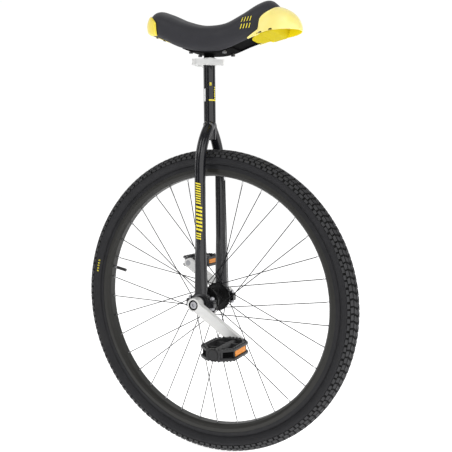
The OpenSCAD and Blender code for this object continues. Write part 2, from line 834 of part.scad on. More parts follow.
module axle() {
    step_y = flange_y + 3;
    color(grey_steel) difference() {
        union() {
            on_axle(-step_y) cylinder(h = 2 * step_y, r = hub_bore_r);
            on_axle(-square_start) cylinder(h = 2 * square_start, r = bearing_bore_r - 0.01);
            for (side = SIDES) on_crank(side) translate([-square_half, -square_half, square_start - 4])
                cube([2 * square_half, 2 * square_half, axle_end - square_start + 4]);
        }
        for (side = SIDES) outward(side, axle_end - 18) cylinder(h = 20, r = 4);
    }
}

module bearing_spacers() {
    start = flange_y + 3;
    color(grey_steel) for (side = SIDES) outward(side, start)
        tube(bearing_y - bearing_w / 2 - start, 11.5, bearing_bore_r);
}

// ---- cranks ----

crank_face_y = 88;
crank_boss_r = 15.6;
crank_back_y = 67;
crank_t = 13;
crank_flare = 2.5;      // the pedal end stands this much further out
pedal_eye_r = 7.15;
recess_r = 11.8;

function crank_dir(side) = side < 0 ? -crank_angle : 180 - crank_angle;
function pedal_axis(side) = crank_len * [cos(crank_dir(side)), 0, sin(crank_dir(side))] + [0, 0, axle_z];

// Children with +X along the crank and +Z pointing outwards from the wheel's middle plane
module on_crank(side) {
    translate([0, 0, axle_z]) rotate([0, -crank_dir(side), 0]) rotate([-90 * side, 0, 0]) children();
}

module crank(side) {
    color(bright_metal) on_crank(side) difference() {
        union() {
            translate([0, 0, crank_back_y]) cylinder(h = crank_face_y - crank_back_y, r = crank_boss_r);
            hull() {
                translate([6, 0, crank_face_y - crank_t]) cylinder(h = crank_t, r = 12, $fn = 32);
                translate([crank_len, 0, crank_face_y - crank_t + crank_flare])
                    cylinder(h = crank_t, r = 11.5, $fn = 32);
            }
        }
        translate([0, 0, crank_face_y - 6]) cylinder(h = 20, r = recess_r);
        translate([-square_half, -square_half, crank_back_y - past]) cube([2 * square_half, 2 * square_half, 20]);
        translate([crank_len, 0, crank_back_y]) cylinder(h = 40, r = pedal_eye_r);
    }
}
module right_crank() { crank(RIGHT); }
module left_crank() { crank(LEFT); }

module crank_bolts() {
    color(bright_metal) for (side = SIDES) outward(side, 0) difference() {
        union() {
            translate([0, 0, axle_end - 15]) cylinder(h = 16, r = 4);
            translate([0, 0, axle_end]) cylinder(h = 3.6, r = 8.2);
        }
        translate([0, 0, axle_end + 0.6]) cylinder(h = 6, r = 4.2, $fn = 6);
    }
}

// ---- pedals ----

pedal_start_y = 98;
pedal_len = pedal_end_y - pedal_start_y;
pedal_half = pedal_w / 2;
cup_r = 8.25;
cup_depth = 8;
cone_r = 4.95;
small_ball_r = 1.58;
small_ball_pitch = 6.6;
barrel_r = 9.6;
rail = 8;
plate_t = 4.5;
stud_h = 1.8;
cap_r = 11;
cap_t = 3.5;
boss_r = 12.6;
boss_h = 7;

// Children at a pedal's inner end on its axis: their +Y points outwards and +Z up
module at_pedal(side) {
    translate(pedal_axis(side) + [0, side * pedal_start_y, 0]) rotate([0, 0, side > 0 ? 0 : 180]) children();
}

// Children turned so that +Z runs along the pedal's axis, outwards
module along_pedal(side, start = 0) {
    at_pedal(side) translate([0, start, 0]) rotate([-90, 0, 0]) children();
}

module pedal_spindle(side) {
    inner = pedal_start_y - crank_face_y - crank_flare;
    color(grey_steel) along_pedal(side) {
        translate([0, 0, -inner - crank_t + 0.5]) cylinder(h = crank_t, r = pedal_eye_r);
        translate([0, 0, -inner]) cylinder(h = 4, r = 9, $fn = 6);
        translate([0, 0, -inner]) cylinder(h = inner + 2, r = 6.6);
        translate([0, 0, -inner]) cylinder(h = inner + pedal_len - cap_t - 1.2, r = cone_r);
    }
}
module right_pedal_spindle() { pedal_spindle(RIGHT); }
module left_pedal_spindle() { pedal_spindle(LEFT); }

module pedal_lock_nuts() {
    h = 3;
    color(grey_steel) for (side = SIDES) along_pedal(side, pedal_len - cap_t - h - 1.4) difference() {
        cylinder(h = h, r = 7.4, $fn = 6);
        translate([0, 0, -past]) cylinder(h = h + 2 * past, r = cone_r);
    }
}

function cage_outline(inset) =
    let (w = pedal_half - inset, l = pedal_len - inset)
    [[-16, l], [16, l], [w, l - 19], [w, 19 + inset], [20, inset], [-20, inset], [-w, 19 + inset], [-w, l - 19]];

// A ring with the pedal's outline, between two insets
module cage_ring(z, h, outer, inner) {
    translate([0, 0, z]) linear_extrude(h) difference() {
        polygon(cage_outline(outer));
        polygon(cage_outline(inner));
    }
}

// The pedal's body: an upper and a lower plate with teeth, walls set in between them, and a barrel
module pedal_body(side) {
    window_h = reflector_h + 0.4;
    half_h = pedal_h / 2;
    tooth_spots = concat(
        [for (x = [-1, 1]) for (i = [0:7]) [x * (pedal_half - 2.2), 22 + i * (pedal_len - 44) / 7]],
        [for (x = [-12, -4, 4, 12]) for (y = [2.2, pedal_len - 2.2]) [x, y]],
        [for (x = [-1, 1]) for (t = [0.25, 0.5, 0.75]) [x * (16 + 21 * t), pedal_len - 2.4 - 18 * t]],
        [for (x = [-1, 1]) for (t = [0.3, 0.65]) [x * (20 + 17 * t), 2.6 + 18 * t]]
    );
    color(black_plastic) at_pedal(side) difference() {
        union() {
            cage_ring(half_h - plate_t, plate_t, 0, rail + 1);
            cage_ring(-half_h, plate_t, 0, rail + 1);
            cage_ring(-half_h + 1, pedal_h - 2, 3, rail);
            translate([-16, pedal_len - rail, -half_h]) cube([32, rail, pedal_h]);
            rotate([-90, 0, 0]) cylinder(h = pedal_len - 0.5, r = barrel_r);
            translate([0, pedal_len - boss_h, 0]) rotate([-90, 0, 0]) cylinder(h = boss_h, r = boss_r);
            for (y = [pedal_len / 2 - 20, pedal_len / 2 + 20])
                translate([-pedal_half + 5, y - 1.5, -8]) cube([pedal_w - 10, 3, 16]);
            for (spot = tooth_spots) for (z = [half_h - 1, -half_h - stud_h])
                translate([spot[0], spot[1], z]) rotate(22.5) cylinder(h = stud_h + 1, r = 2, $fn = 8);
        }
        translate([0, -past, 0]) rotate([-90, 0, 0]) cylinder(h = pedal_len + 2 * past, r = cone_r + 1.2);
        translate([0, -past, 0]) rotate([-90, 0, 0]) cylinder(h = cup_depth + past, r = cup_r);
        translate([0, pedal_len - cup_depth - cap_t, 0]) rotate([-90, 0, 0]) cylinder(h = 20, r = cup_r);
        translate([0, pedal_len - cap_t, 0]) rotate([-90, 0, 0]) cylinder(h = 20, r = cap_r);
        translate([0, pedal_len - 1.4, 0]) rotate([-90, 0, 0]) cylinder(h = 20, r = cap_r + 0.9);
        for (x = [-1, 1]) {
            translate([x * (pedal_half - 2.1) - 4, reflector_start, -window_h / 2])
                cube([8, reflector_len, window_h]);
            translate([x * 28.5, pedal_len - 8, -window_h / 2]) rotate([0, 0, -x * 39.5]) difference() {
                translate([-8.5, -6.7, 0]) cube([17, 16, window_h]);
                for (z = [3, 7.2]) translate([-9, -9, z]) cube([18, 5, 1.2]);
            }
        }
    }
}
module right_pedal_body() { pedal_body(RIGHT); }
module left_pedal_body() { pedal_body(LEFT); }

module pedal_balls(side) {
    color(bright_metal) for (y = [4.5, pedal_len - cap_t - cup_depth + 1.7]) along_pedal(side, y)
        for (i = [0:11]) rotate(i * 30) translate([small_ball_pitch, 0, 0]) sphere(r = small_ball_r, $fn = 24);
}
module right_pedal_balls() { pedal_balls(RIGHT); }
module left_pedal_balls() { pedal_balls(LEFT); }

reflector_len = 48;
reflector_h = 11;
reflector_start = (pedal_len - reflector_len) / 2;

module pedal_reflectors(side) {
    t = 4;
    color(amber) at_pedal(side) for (x = [-1, 1])
        translate([x * (pedal_half - 4) - t / 2, reflector_start + 0.2, -reflector_h / 2])
        cube([t, reflector_len - 0.4, reflector_h]);
}
module right_pedal_reflectors() { pedal_reflectors(RIGHT); }
module left_pedal_reflectors() { pedal_reflectors(LEFT); }

module pedal_cap(side) {
    color(black_plastic) along_pedal(side, pedal_len - cap_t + 0.1) cylinder(h = cap_t + 0.3, r = cap_r - 0.05);
}
module right_pedal_cap() { pedal_cap(RIGHT); }
module left_pedal_cap() { pedal_cap(LEFT); }

// ---- what is drawn ----

neck_tube();
right_fork_leg();
left_fork_leg();
weld_beads();
right_bearing_housing();
left_bearing_housing();
right_bearing_cap();
left_bearing_cap();
housing_bolts();
housing_nuts();
right_bearing_outer_ring();
left_bearing_outer_ring();
bearing_seals();
right_bearing_inner_ring();
left_bearing_inner_ring();
right_bearing_balls();
left_bearing_balls();
seat_collar();
collar_skewer();
lever_pin();
cam_washer();
clamp_lever();
clamp_nut();
seat_post();
saddle_bracket();
saddle_base();
saddle_studs();
saddle_nuts();
saddle_foam();
saddle_cover();
front_bumper();
rear_bumper();
bumper_screws();
tyre();
inner_tube();
rim_tape();
rim();
right_spokes();
left_spokes();
spoke_nipples();
valve_stem();
valve_cap();
hub_shell();
axle();
bearing_spacers();
right_crank();
left_crank();
crank_bolts();
right_pedal_spindle();
left_pedal_spindle();
pedal_lock_nuts();
right_pedal_body();
left_pedal_body();
right_pedal_balls();
left_pedal_balls();
right_pedal_reflectors();
left_pedal_reflectors();
right_pedal_cap();
left_pedal_cap();
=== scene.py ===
"""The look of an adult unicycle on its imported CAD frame: materials for every CAD node, the tyre with its tread,
the saddle's cover, both bumpers, plain stripes, studio and camera.

+X is forward, +Z up and the axle lies along Y. Shapes are worked out in millimetres with heights from the axle, and
lift() and mesh_piece() bring them to the frame's metres with heights from the ground.
"""
import math

import bpy
from mathutils import Matrix, Vector


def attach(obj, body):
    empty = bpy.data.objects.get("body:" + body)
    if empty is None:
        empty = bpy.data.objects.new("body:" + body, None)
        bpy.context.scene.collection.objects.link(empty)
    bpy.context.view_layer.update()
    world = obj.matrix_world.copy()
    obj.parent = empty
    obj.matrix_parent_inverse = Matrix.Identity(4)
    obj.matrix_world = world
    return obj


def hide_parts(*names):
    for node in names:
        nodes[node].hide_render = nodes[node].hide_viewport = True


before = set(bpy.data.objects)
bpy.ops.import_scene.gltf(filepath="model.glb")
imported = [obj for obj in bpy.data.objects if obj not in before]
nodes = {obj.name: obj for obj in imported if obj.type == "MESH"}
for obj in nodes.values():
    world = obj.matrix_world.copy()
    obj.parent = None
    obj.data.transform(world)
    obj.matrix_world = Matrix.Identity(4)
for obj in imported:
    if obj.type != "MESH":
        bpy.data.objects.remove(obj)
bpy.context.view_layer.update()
MM = 0.001
AXLE = 0.358        # metres over the ground
RIGHT, LEFT = -1, 1


# ---- helpers ----


def sind(a):
    return math.sin(math.radians(a))


def cosd(a):
    return math.cos(math.radians(a))


def mix(a, b, t):
    return a + (b - a) * t


def mesh_piece(name, points, faces, material, body, smooth=60):
    """A mesh in millimetres, shaded smooth across edges flatter than `smooth` degrees."""
    mesh = bpy.data.meshes.new(name)
    mesh.from_pydata([tuple(c * MM for c in p) for p in points], [], faces)
    mesh.validate()
    piece = bpy.data.objects.new(name, mesh)
    bpy.context.collection.objects.link(piece)
    mesh.materials.append(material)
    shade(piece, smooth)
    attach(piece, body)
    return piece


def shade(piece, angle):
    """Smooth shading across edges flatter than `angle` degrees."""
    for face in piece.data.polygons:
        face.use_smooth = True
    bpy.context.view_layer.objects.active = piece
    for o in bpy.context.selected_objects:
        o.select_set(False)
    piece.select_set(True)
    bpy.ops.object.shade_smooth_by_angle(angle=math.radians(angle))


def strip_faces(columns, rows, start=0, closed=False, flip=False):
    """Quads of a grid of points, stored column by column."""
    faces = []
    for i in range(columns if closed else columns - 1):
        for j in range(rows - 1):
            a = start + i * rows + j
            b = start + (i + 1) % columns * rows + j
            quad = (a, a + 1, b + 1, b)
            faces.append(quad[::-1] if flip else quad)
    return faces


def shell_mesh(outer, inner):
    """Points and faces of a shell between two grids given as columns of rows."""
    n, m = len(outer), len(outer[0])
    points = [p for column in outer for p in column] + [p for column in inner for p in column]
    k = n * m
    faces = strip_faces(n, m) + strip_faces(n, m, k, flip=True)
    for i in range(n - 1):
        faces.append((k + i * m, i * m, (i + 1) * m, k + (i + 1) * m))
        faces.append((i * m + m - 1, k + i * m + m - 1, k + (i + 1) * m + m - 1, (i + 1) * m + m - 1))
    for j in range(m - 1):
        faces.append((j + 1, j, k + j, k + j + 1))
        faces.append(((n - 1) * m + j, (n - 1) * m + j + 1, k + (n - 1) * m + j + 1, k + (n - 1) * m + j))
    return points, faces


def lift(points):
    """Heights from the axle turned into heights from the ground."""
    return [(p[0], p[1], p[2] + AXLE * 1000) for p in points]


def print_and_shade_patches(name, patches, place, material, body, steps=8):
    """Thin printed shapes and patches of painted shade: each patch has four (s, t) corners, and place(s, t) puts them
    on a surface.
    """
    points, faces = [], []
    for corners in patches:
        start = len(points)
        for i in range(steps + 1):
            for j in (0, 1):
                a, b = corners[3 * j], corners[1 + j]
                points.append(place(mix(a[0], b[0], i / steps), mix(a[1], b[1], i / steps)))
        faces += [(start + 2 * i, start + 2 * i + 1, start + 2 * i + 3, start + 2 * i + 2) for i in range(steps)]
    return mesh_piece(name, lift(points), faces, material, body, 60)


# ---- materials ----

MIX_FACTOR, MIX_A, MIX_B, MIX_COLOUR = 0, 6, 7, 2      # colour sockets of a Mix node
COAT_ROUGH = 0.08


def surface(name, colour, rough, metal=0.0, coat=0.0, spread=0.12, size=60.0, rough_spread=0.08, grain=900.0,
            bump=0.02, bump_depth=0.0002, stretch=(1, 1, 1), specular=0.5, wear=None):
    """A procedural material: colour varied by `spread`, with patches of `wear`, varied roughness and a fine bump."""
    material = bpy.data.materials.new(name)
    material.use_nodes = True
    tree = material.node_tree
    shader = tree.nodes["Principled BSDF"]
    shader.inputs["Metallic"].default_value = metal
    shader.inputs["Coat Weight"].default_value = coat
    shader.inputs["Coat Roughness"].default_value = COAT_ROUGH
    shader.inputs["Specular IOR Level"].default_value = specular
    where = tree.nodes.new("ShaderNodeTexCoord")
    placed = tree.nodes.new("ShaderNodeMapping")
    placed.inputs["Scale"].default_value = stretch
    tree.links.new(where.outputs["Object"], placed.inputs["Vector"])

    def noise(scale, detail):
        node = tree.nodes.new("ShaderNodeTexNoise")
        node.inputs["Scale"].default_value = scale
        node.inputs["Detail"].default_value = detail
        tree.links.new(placed.outputs["Vector"], node.inputs["Vector"])
        return node.outputs["Fac"]

    def ramp(factor, low, high, start=0.3, end=0.7):
        node = tree.nodes.new("ShaderNodeValToRGB")
        node.color_ramp.elements[0].position = start
        node.color_ramp.elements[1].position = end
        node.color_ramp.elements[0].color = low
        node.color_ramp.elements[1].color = high
        tree.links.new(factor, node.inputs["Fac"])
        return node.outputs["Color"]

    def shaded(factor):
        return tuple(min(1.0, c * factor) for c in colour) + (1.0,)

    tone = ramp(noise(size, 4), shaded(1 - spread), shaded(1 + spread))
    if wear:
        blend = tree.nodes.new("ShaderNodeMix")
        blend.data_type = "RGBA"
        patches = ramp(noise(size * 0.35, 8), (0, 0, 0, 1), (1, 1, 1, 1), 0.56, 0.74)
        tree.links.new(patches, blend.inputs[MIX_FACTOR])
        tree.links.new(tone, blend.inputs[MIX_A])
        blend.inputs[MIX_B].default_value = wear + (1.0,)
        tone = blend.outputs[MIX_COLOUR]
    tree.links.new(tone, shader.inputs["Base Color"])
    spot = tree.nodes.new("ShaderNodeMapRange")
    spot.inputs["To Min"].default_value = max(0.02, rough - rough_spread)
    spot.inputs["To Max"].default_value = min(1.0, rough + rough_spread)
    tree.links.new(noise(size * 3, 3), spot.inputs["Value"])
    tree.links.new(spot.outputs["Result"], shader.inputs["Roughness"])
    raised = tree.nodes.new("ShaderNodeBump")
    raised.inputs["Strength"].default_value = bump
    raised.inputs["Distance"].default_value = bump_depth
    tree.links.new(noise(grain, 6), raised.inputs["Height"])
    tree.links.new(raised.outputs["Normal"], shader.inputs["Normal"])
    return material


paint = surface("black_paint", (0.006, 0.006, 0.008), 0.22, coat=0.3, spread=0.1, rough_spread=0.03, bump=0.004,
                specular=0.35)
alloy = surface("satin_alloy", (0.72, 0.72, 0.71), 0.42, metal=0.35, spread=0.03, stretch=(1, 1, 3), bump=0.05,
                wear=(0.69, 0.69, 0.69))
chrome = surface("bright_steel", (0.72, 0.72, 0.73), 0.22, metal=1.0, spread=0.05)
steel = surface("plain_steel", (0.42, 0.42, 0.44), 0.36, metal=1.0, spread=0.1)
dark_steel = surface("dark_steel", (0.12, 0.12, 0.125), 0.34, metal=0.9, spread=0.1)
spoke_steel = surface("dark_spoke", (0.008, 0.008, 0.009), 0.55, spread=0.2, size=40, specular=0.1)
rim_finish = surface("dark_rim", (0.015, 0.0145, 0.0125), 0.42, spread=0.08, bump=0.04, specular=0.4)
hub_finish = surface("black_hub", (0.007, 0.007, 0.007), 0.42, spread=0.2, specular=0.3)
weld_paint = surface("weld_paint", (0.010, 0.010, 0.013), 0.12, coat=0.8, spread=0.1)
rubber = surface("tyre_rubber", (0.013, 0.013, 0.015), 0.62, spread=0.16, size=30, bump=0.25, bump_depth=0.0003,
                 specular=0.3, wear=(0.017, 0.017, 0.017))
tread_rubber = surface("tread_rubber", (0.021, 0.021, 0.023), 0.62, spread=0.2, size=45, bump=0.35,
                       bump_depth=0.0004)
vinyl = surface("saddle_vinyl", (0.021, 0.021, 0.026), 0.56, spread=0.06, size=25, bump=0.22, bump_depth=0.0003,
                grain=1300, specular=0.38)
plastic = surface("black_plastic", (0.010, 0.010, 0.011), 0.48, spread=0.15, bump=0.2, bump_depth=0.0003)
# Black for the black parts; the same black is also painted shade in the crank recesses, the pedal pockets and the front
# bumper's slots
black_and_painted_shade = surface("black_and_painted_shade", (0.003, 0.003, 0.003), 0.8, spread=0.2, specular=0.04)
# Painted shade between the tread's blocks: a darker, rougher rubber
painted_groove_shade = surface("tread_groove_painted_shade", (0.006, 0.006, 0.006), 0.85, spread=0.2, specular=0.2)
pedal_plastic = surface("pedal_plastic", (0.012, 0.012, 0.013), 0.45, spread=0.18, size=80, bump=0.25,
                        bump_depth=0.0003, wear=(0.022, 0.022, 0.024))
# The front bumper's yellow is paler than the rear's: a painted broad highlight over the saturated yellow plastic
yellow = surface("yellow_plastic", (0.92, 0.79, 0.25), 0.34, spread=0.02, size=20, bump=0.03, coat=0.3)
yellow_deep = surface("yellow_rear", (0.93, 0.74, 0.05), 0.34, spread=0.02, size=20, bump=0.03, coat=0.3)
yellow_inside = surface("yellow_inside", (0.74, 0.60, 0.008), 0.7, spread=0.02, size=20, bump=0.02, specular=0.12)
yellow_floor = surface("yellow_floor", (0.58, 0.47, 0.004), 0.7, spread=0.02, size=20, bump=0.02, specular=0.12)
yellow_print = surface("yellow_print", (0.88, 0.74, 0.04), 0.45, spread=0.05)
white_print = surface("white_print", (0.8, 0.8, 0.8), 0.5, spread=0.03)
amber = surface("amber_reflector", (0.74, 0.25, 0.015), 0.35, spread=0.12, size=400, specular=0.3)
foam = surface("foam", (0.10, 0.10, 0.11), 0.9, spread=0.2)
tape = surface("rim_tape", (0.35, 0.06, 0.04), 0.8, spread=0.1)

# Light that comes through the thin yellow plastic is imitated by a slight glow inside and by scattering outside
glowing = yellow_inside.node_tree.nodes["Principled BSDF"]
glowing.inputs["Emission Color"].default_value = (0.90, 0.78, 0.01, 1)
glowing.inputs["Emission Strength"].default_value = 0.27
scattering = yellow.node_tree.nodes["Principled BSDF"]
scattering.inputs["Subsurface Weight"].default_value = 0.15
scattering.inputs["Subsurface Radius"].default_value = (0.004, 0.003, 0.001)

FINISH = {
    paint: ["neck_tube", "right_fork_leg", "left_fork_leg", "right_bearing_housing",
            "left_bearing_housing", "right_bearing_cap", "left_bearing_cap", "seat_post"],
    weld_paint: ["weld_beads"],
    black_and_painted_shade: ["saddle_bracket", "saddle_base", "bumper_screws"],
    alloy: ["right_crank", "left_crank", "seat_collar", "clamp_lever"],
    dark_steel: ["saddle_studs", "saddle_nuts", "right_bearing_outer_ring", "left_bearing_outer_ring",
                 "right_bearing_inner_ring", "left_bearing_inner_ring", "bearing_spacers"],
    chrome: ["collar_skewer", "spoke_nipples", "right_bearing_balls", "left_bearing_balls", "right_pedal_balls",
             "left_pedal_balls"],
    steel: ["lever_pin", "clamp_nut", "crank_bolts", "valve_stem", "axle", "pedal_lock_nuts", "housing_bolts",
            "housing_nuts", "right_pedal_spindle", "left_pedal_spindle"],
    spoke_steel: ["right_spokes", "left_spokes"],
    rim_finish: ["rim"],
    hub_finish: ["hub_shell"],
    rubber: ["inner_tube"],
    plastic: ["bearing_seals", "cam_washer", "valve_cap", "right_pedal_cap", "left_pedal_cap"],
    pedal_plastic: ["right_pedal_body", "left_pedal_body"],
    amber: ["right_pedal_reflectors", "left_pedal_reflectors"],
    foam: ["saddle_foam"],
    tape: ["rim_tape"],
}
CAD_SMOOTH = 35
for finish, names in FINISH.items():
    for name in names:
        nodes[name].data.materials.clear()
        nodes[name].data.materials.append(finish)
        shade(nodes[name], CAD_SMOOTH)

# The recess round each crank's bolt is painted black as shade: its faces lie near the axle's line and behind the
# crank's outer face
CRANK_FACE, FACE_MARGIN, RECESS_R = 0.088, 0.0003, 0.0121
for name in ("right_crank", "left_crank"):
    crank = nodes[name]
    crank.data.materials.append(black_and_painted_shade)
    for face in crank.data.polygons:
        x, y, z = crank.matrix_world @ face.center
        if math.hypot(x, z - AXLE) < RECESS_R and abs(y) < CRANK_FACE - FACE_MARGIN:
            face.material_index = 1

# The pockets in the slanted walls of each pedal, behind their ribs, get the same painted shade, found in millimetres
# from the pedal's axis and end
PEDAL_END = 201.0
WALL_COS, WALL_SIN, WALL_START = 0.836, 0.548, 16
POCKET_UP, POCKET_FROM_END = 5.8, 30
for side in ("right", "left"):
    cap = nodes[side + "_pedal_cap"]
    cap_points = [cap.matrix_world @ v.co for v in cap.data.vertices]
    axis = [(min(p[i] for p in cap_points) + max(p[i] for p in cap_points)) / 2 for i in (0, 2)]
    body = nodes[side + "_pedal_body"]
    body.data.materials.append(black_and_painted_shade)
    for face in body.data.polygons:
        x, y, z = body.matrix_world @ face.center * 1000
        across, from_end, up = abs(x - axis[0] * 1000), PEDAL_END - abs(y), z - axis[1] * 1000
        depth = WALL_COS * from_end - WALL_SIN * (across - WALL_START)
        if abs(up) < POCKET_UP and 12 < across < 40 and from_end < POCKET_FROM_END and 4.2 < depth < 7.2:
            face.material_index = 1


# ---- tyre ----

TYRE_MID = 337.0                    # radius of the section's middle
TYRE_HIGH, TYRE_HALF = 21.0, 25.5   # the section's half height and half width
TREAD_FROM, TREAD_H = 4.0, 2.3      # the tread starts at this angle of the section
PITCHES = 140
RIM_HALF = 17.0
LIP_R, FLANGE_R = 311.4, 318.2      # the lip covers the rim's flange between these radii
WALL_DEPTH, RIB_HALF = 0.25, 1.6


def tyre_point(theta, phi, depth):
    """A point `depth` under the tyre's outline: theta goes round its section from +Y, phi round the wheel."""
    r = TYRE_MID + (TYRE_HIGH - depth) * sind(theta)
    y = (TYRE_HALF - depth) * cosd(theta)
    return (r * cosd(phi), y, r * sind(phi))


def carcass_depth(theta):
    """How far the carcass lies under the tread's outline, with thin ribs on the sidewall."""
    side = min(theta, 180 - theta)
    if any(abs(side - rib) < RIB_HALF for rib in (-12, -24, -36)):
        return 0.0
    if side > TREAD_FROM - 3:
        return mix(WALL_DEPTH, TREAD_H, min(1, (side - TREAD_FROM + 3) / 5))
    return WALL_DEPTH


def tyre_ring(phi):
    """The carcass's section at one angle: bead and lip, then round the outside to the other lip and bead."""
    bead = [(LIP_R + 0.2, RIM_HALF - 1.9), (FLANGE_R, RIM_HALF - 1.9), (FLANGE_R, RIM_HALF + 0.2),
            (LIP_R, RIM_HALF + 0.2), (LIP_R, RIM_HALF + 0.8), (FLANGE_R - 0.7, RIM_HALF + 1.3)]
    thetas = range(-50, 231, 2)
    left = [(r * cosd(phi), y, r * sind(phi)) for r, y in bead]
    right = [(x, -y, z) for x, y, z in left[::-1]]
    return left + [tyre_point(t, phi, carcass_depth(t)) for t in thetas] + right


def build_tyre():
    segments = 360
    rings = [tyre_ring(360 * i / segments) for i in range(segments)]
    n = len(rings[0])
    points = lift([p for ring in rings for p in ring])
    faces = strip_faces(segments, n, closed=True)
    faces += [(i * n, (i + 1) % segments * n, (i + 1) % segments * n + n - 1, i * n + n - 1)
              for i in range(segments)]
    piece = mesh_piece("tyre_carcass", points, faces, rubber, "wheel", 50)
    # Faces of the carcass under the tread get the darker rubber, as painted shade between the blocks
    piece.data.materials.append(painted_groove_shade)
    for face in piece.data.polygons:
        x, y, z = face.center * 1000
        out = math.hypot(x, z - AXLE * 1000) - TYRE_MID
        if math.degrees(math.atan2(out / TYRE_HIGH, abs(y) / TYRE_HALF)) > TREAD_FROM + 1:
            face.material_index = 1
    return piece


BLOCK_FLARE, BLOCK_ROOT = 1.12, 0.3
SHOULDER_BLOCKS = (0.62, 0.72)


def build_tread():
    """Raised blocks: a row on each shoulder, slanted bars inside them and a zigzag in the middle."""
    points, faces = [], []
    step = 360 / PITCHES

    def block(corners, phi):
        """A block with its top on the tyre's outline; corners are (theta, part of a pitch)."""
        n = len(corners)
        middle = (sum(c[0] for c in corners) / n, sum(c[1] for c in corners) / n)
        start = len(points)
        for grow, depth in ((1.0, 0.0), (BLOCK_FLARE, TREAD_H + BLOCK_ROOT)):
            for t, u in corners:
                t2, u2 = middle[0] + (t - middle[0]) * grow, middle[1] + (u - middle[1]) * grow
                points.append(tyre_point(t2, phi + u2 * step, depth))
        faces.append(tuple(start + k for k in range(n)))
        for k in range(n):
            faces.append((start + k, start + n + k, start + n + (k + 1) % n, start + (k + 1) % n))

    for i in range(PITCHES):
        wide = SHOULDER_BLOCKS[i % 2]
        rows = (
            ((6, 0.0), (22, 0.0), (22, wide), (6, wide)),
            ((26, 0.4), (43, 0.45), (43, 1.17), (26, 1.12)),
            ((47, 0.44), (64, 0.14), (66, 0.72), (49, 1.08)),
            ((70, 0.02), (87, 0.34), (87, 0.98), (70, 0.66)),
        )
        for corners in rows:
            block(corners, i * step)
        # The other half is its mirror image, half a pitch on
        for corners in rows:
            block([(180 - theta, part + 0.5) for theta, part in corners], i * step)
    return mesh_piece("tyre_tread", lift(points), faces, tread_rubber, "wheel", 30)


carcass = build_tyre()
tread = build_tread()
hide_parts("tyre")


# ---- saddle ----

# From rear to front: x, crown, lower edge, half width, half width at the lower edge
SADDLE = (
    (-159, 672, 655, 16, 12), (-152, 684, 648, 31, 25), (-128, 701.5, 634.5, 52, 44), (-98, 694, 622, 65, 55),
    (-50, 670.5, 598, 62, 49), (0, 654, 586, 52, 38), (50, 651, 585, 45, 31), (100, 667, 598, 46, 31),
    (140, 685, 609, 46, 35), (165, 689, 617, 42, 33), (182, 676, 626, 33, 27), (190, 660, 637, 22, 16),
)
CROWN, LOW, WIDE, LOW_WIDE = 1, 2, 3, 4


def smooth_at(knots, column, x, ends_held=False):
    """A smooth curve through one column of the knots, held level beyond their ends if asked."""
    i = 0
    while i < len(knots) - 2 and x >= knots[i + 1][0]:
        i += 1
    start, end = knots[i], knots[i + 1]
    h = end[0] - start[0]
    t = (x - start[0]) / h
    if ends_held:
        t = min(1.0, max(0.0, t))

    def slope(k):
        a, b = knots[max(k - 1, 0)], knots[min(k + 1, len(knots) - 1)]
        return (b[column] - a[column]) / (b[0] - a[0])

    return ((2 * t ** 3 - 3 * t * t + 1) * start[column] + (t ** 3 - 2 * t * t + t) * h * slope(i)
            + (3 * t * t - 2 * t ** 3) * end[column] + (t ** 3 - t * t) * h * slope(i + 1))


def saddle_at(column, x):
    return smooth_at(SADDLE, column, x)


def half_width(x, z, inset=0.0):
    """The cover's half width at a station and a height: an upper and a lower quarter of an oval."""
    crown, low = saddle_at(CROWN, x) - inset, saddle_at(LOW, x)
    middle = (crown + low) / 2
    wide, low_wide = saddle_at(WIDE, x) - inset, saddle_at(LOW_WIDE, x) - inset
    if z > middle:
        return wide * math.sqrt(max(0, 1 - ((z - middle) / (crown - middle)) ** 2))
    return low_wide + (wide - low_wide) * math.sqrt(max(0, 1 - ((middle - z) / (middle - low)) ** 2))


def saddle_ring(x, inset, steps=20):
    """The cover's section at x, from the right lower edge over the crown to the left one."""
    low, top = saddle_at(LOW, x), saddle_at(CROWN, x) - inset
    heights = [low + (top - low) * sind(90 * k / steps) for k in range(steps + 1)]
    right = [(x, -half_width(x, z, inset), z) for z in heights]
    return right + [(x, -p[1], p[2]) for p in right[-2::-1]]


STATIONS = 120
HEM_ROWS = 3
SLACK = 0.9                         # how far the cover may swell
COVER_INSET = 2.4
PRESSURE, CLOTH_FRAMES = 4, 20
STRETCH_STIFFNESS, BEND_STIFFNESS = 30, 2


def pressed(points, faces, held):
    """The points of a closed skin after air pressure has filled it, none of them moved further than SLACK."""
    mesh = bpy.data.meshes.new("skin")
    mesh.from_pydata([tuple(c * MM for c in p) for p in points], [], faces)
    skin = bpy.data.objects.new("skin", mesh)
    bpy.context.collection.objects.link(skin)
    skin.vertex_groups.new(name="held").add(held, 1.0, "REPLACE")
    cloth = skin.modifiers.new("cloth", "CLOTH")
    cloth.settings.vertex_group_mass = "held"
    cloth.settings.use_pressure = True
    cloth.settings.uniform_pressure_force = PRESSURE
    cloth.settings.effector_weights.gravity = 0
    cloth.settings.tension_stiffness = cloth.settings.compression_stiffness = STRETCH_STIFFNESS
    cloth.settings.bending_stiffness = BEND_STIFFNESS
    cloth.point_cache.frame_end = CLOTH_FRAMES
    for step in range(1, CLOTH_FRAMES + 1):
        bpy.context.scene.frame_set(step)
    filled = skin.evaluated_get(bpy.context.evaluated_depsgraph_get()).data
    result = []
    for p, vertex in zip(points, filled.vertices):
        move = vertex.co * 1000 - Vector(p)
        result.append(tuple(Vector(p) + move * min(1.0, SLACK / max(move.length, 1e-9))))
    bpy.data.objects.remove(skin)
    bpy.context.scene.frame_set(1)
    return result


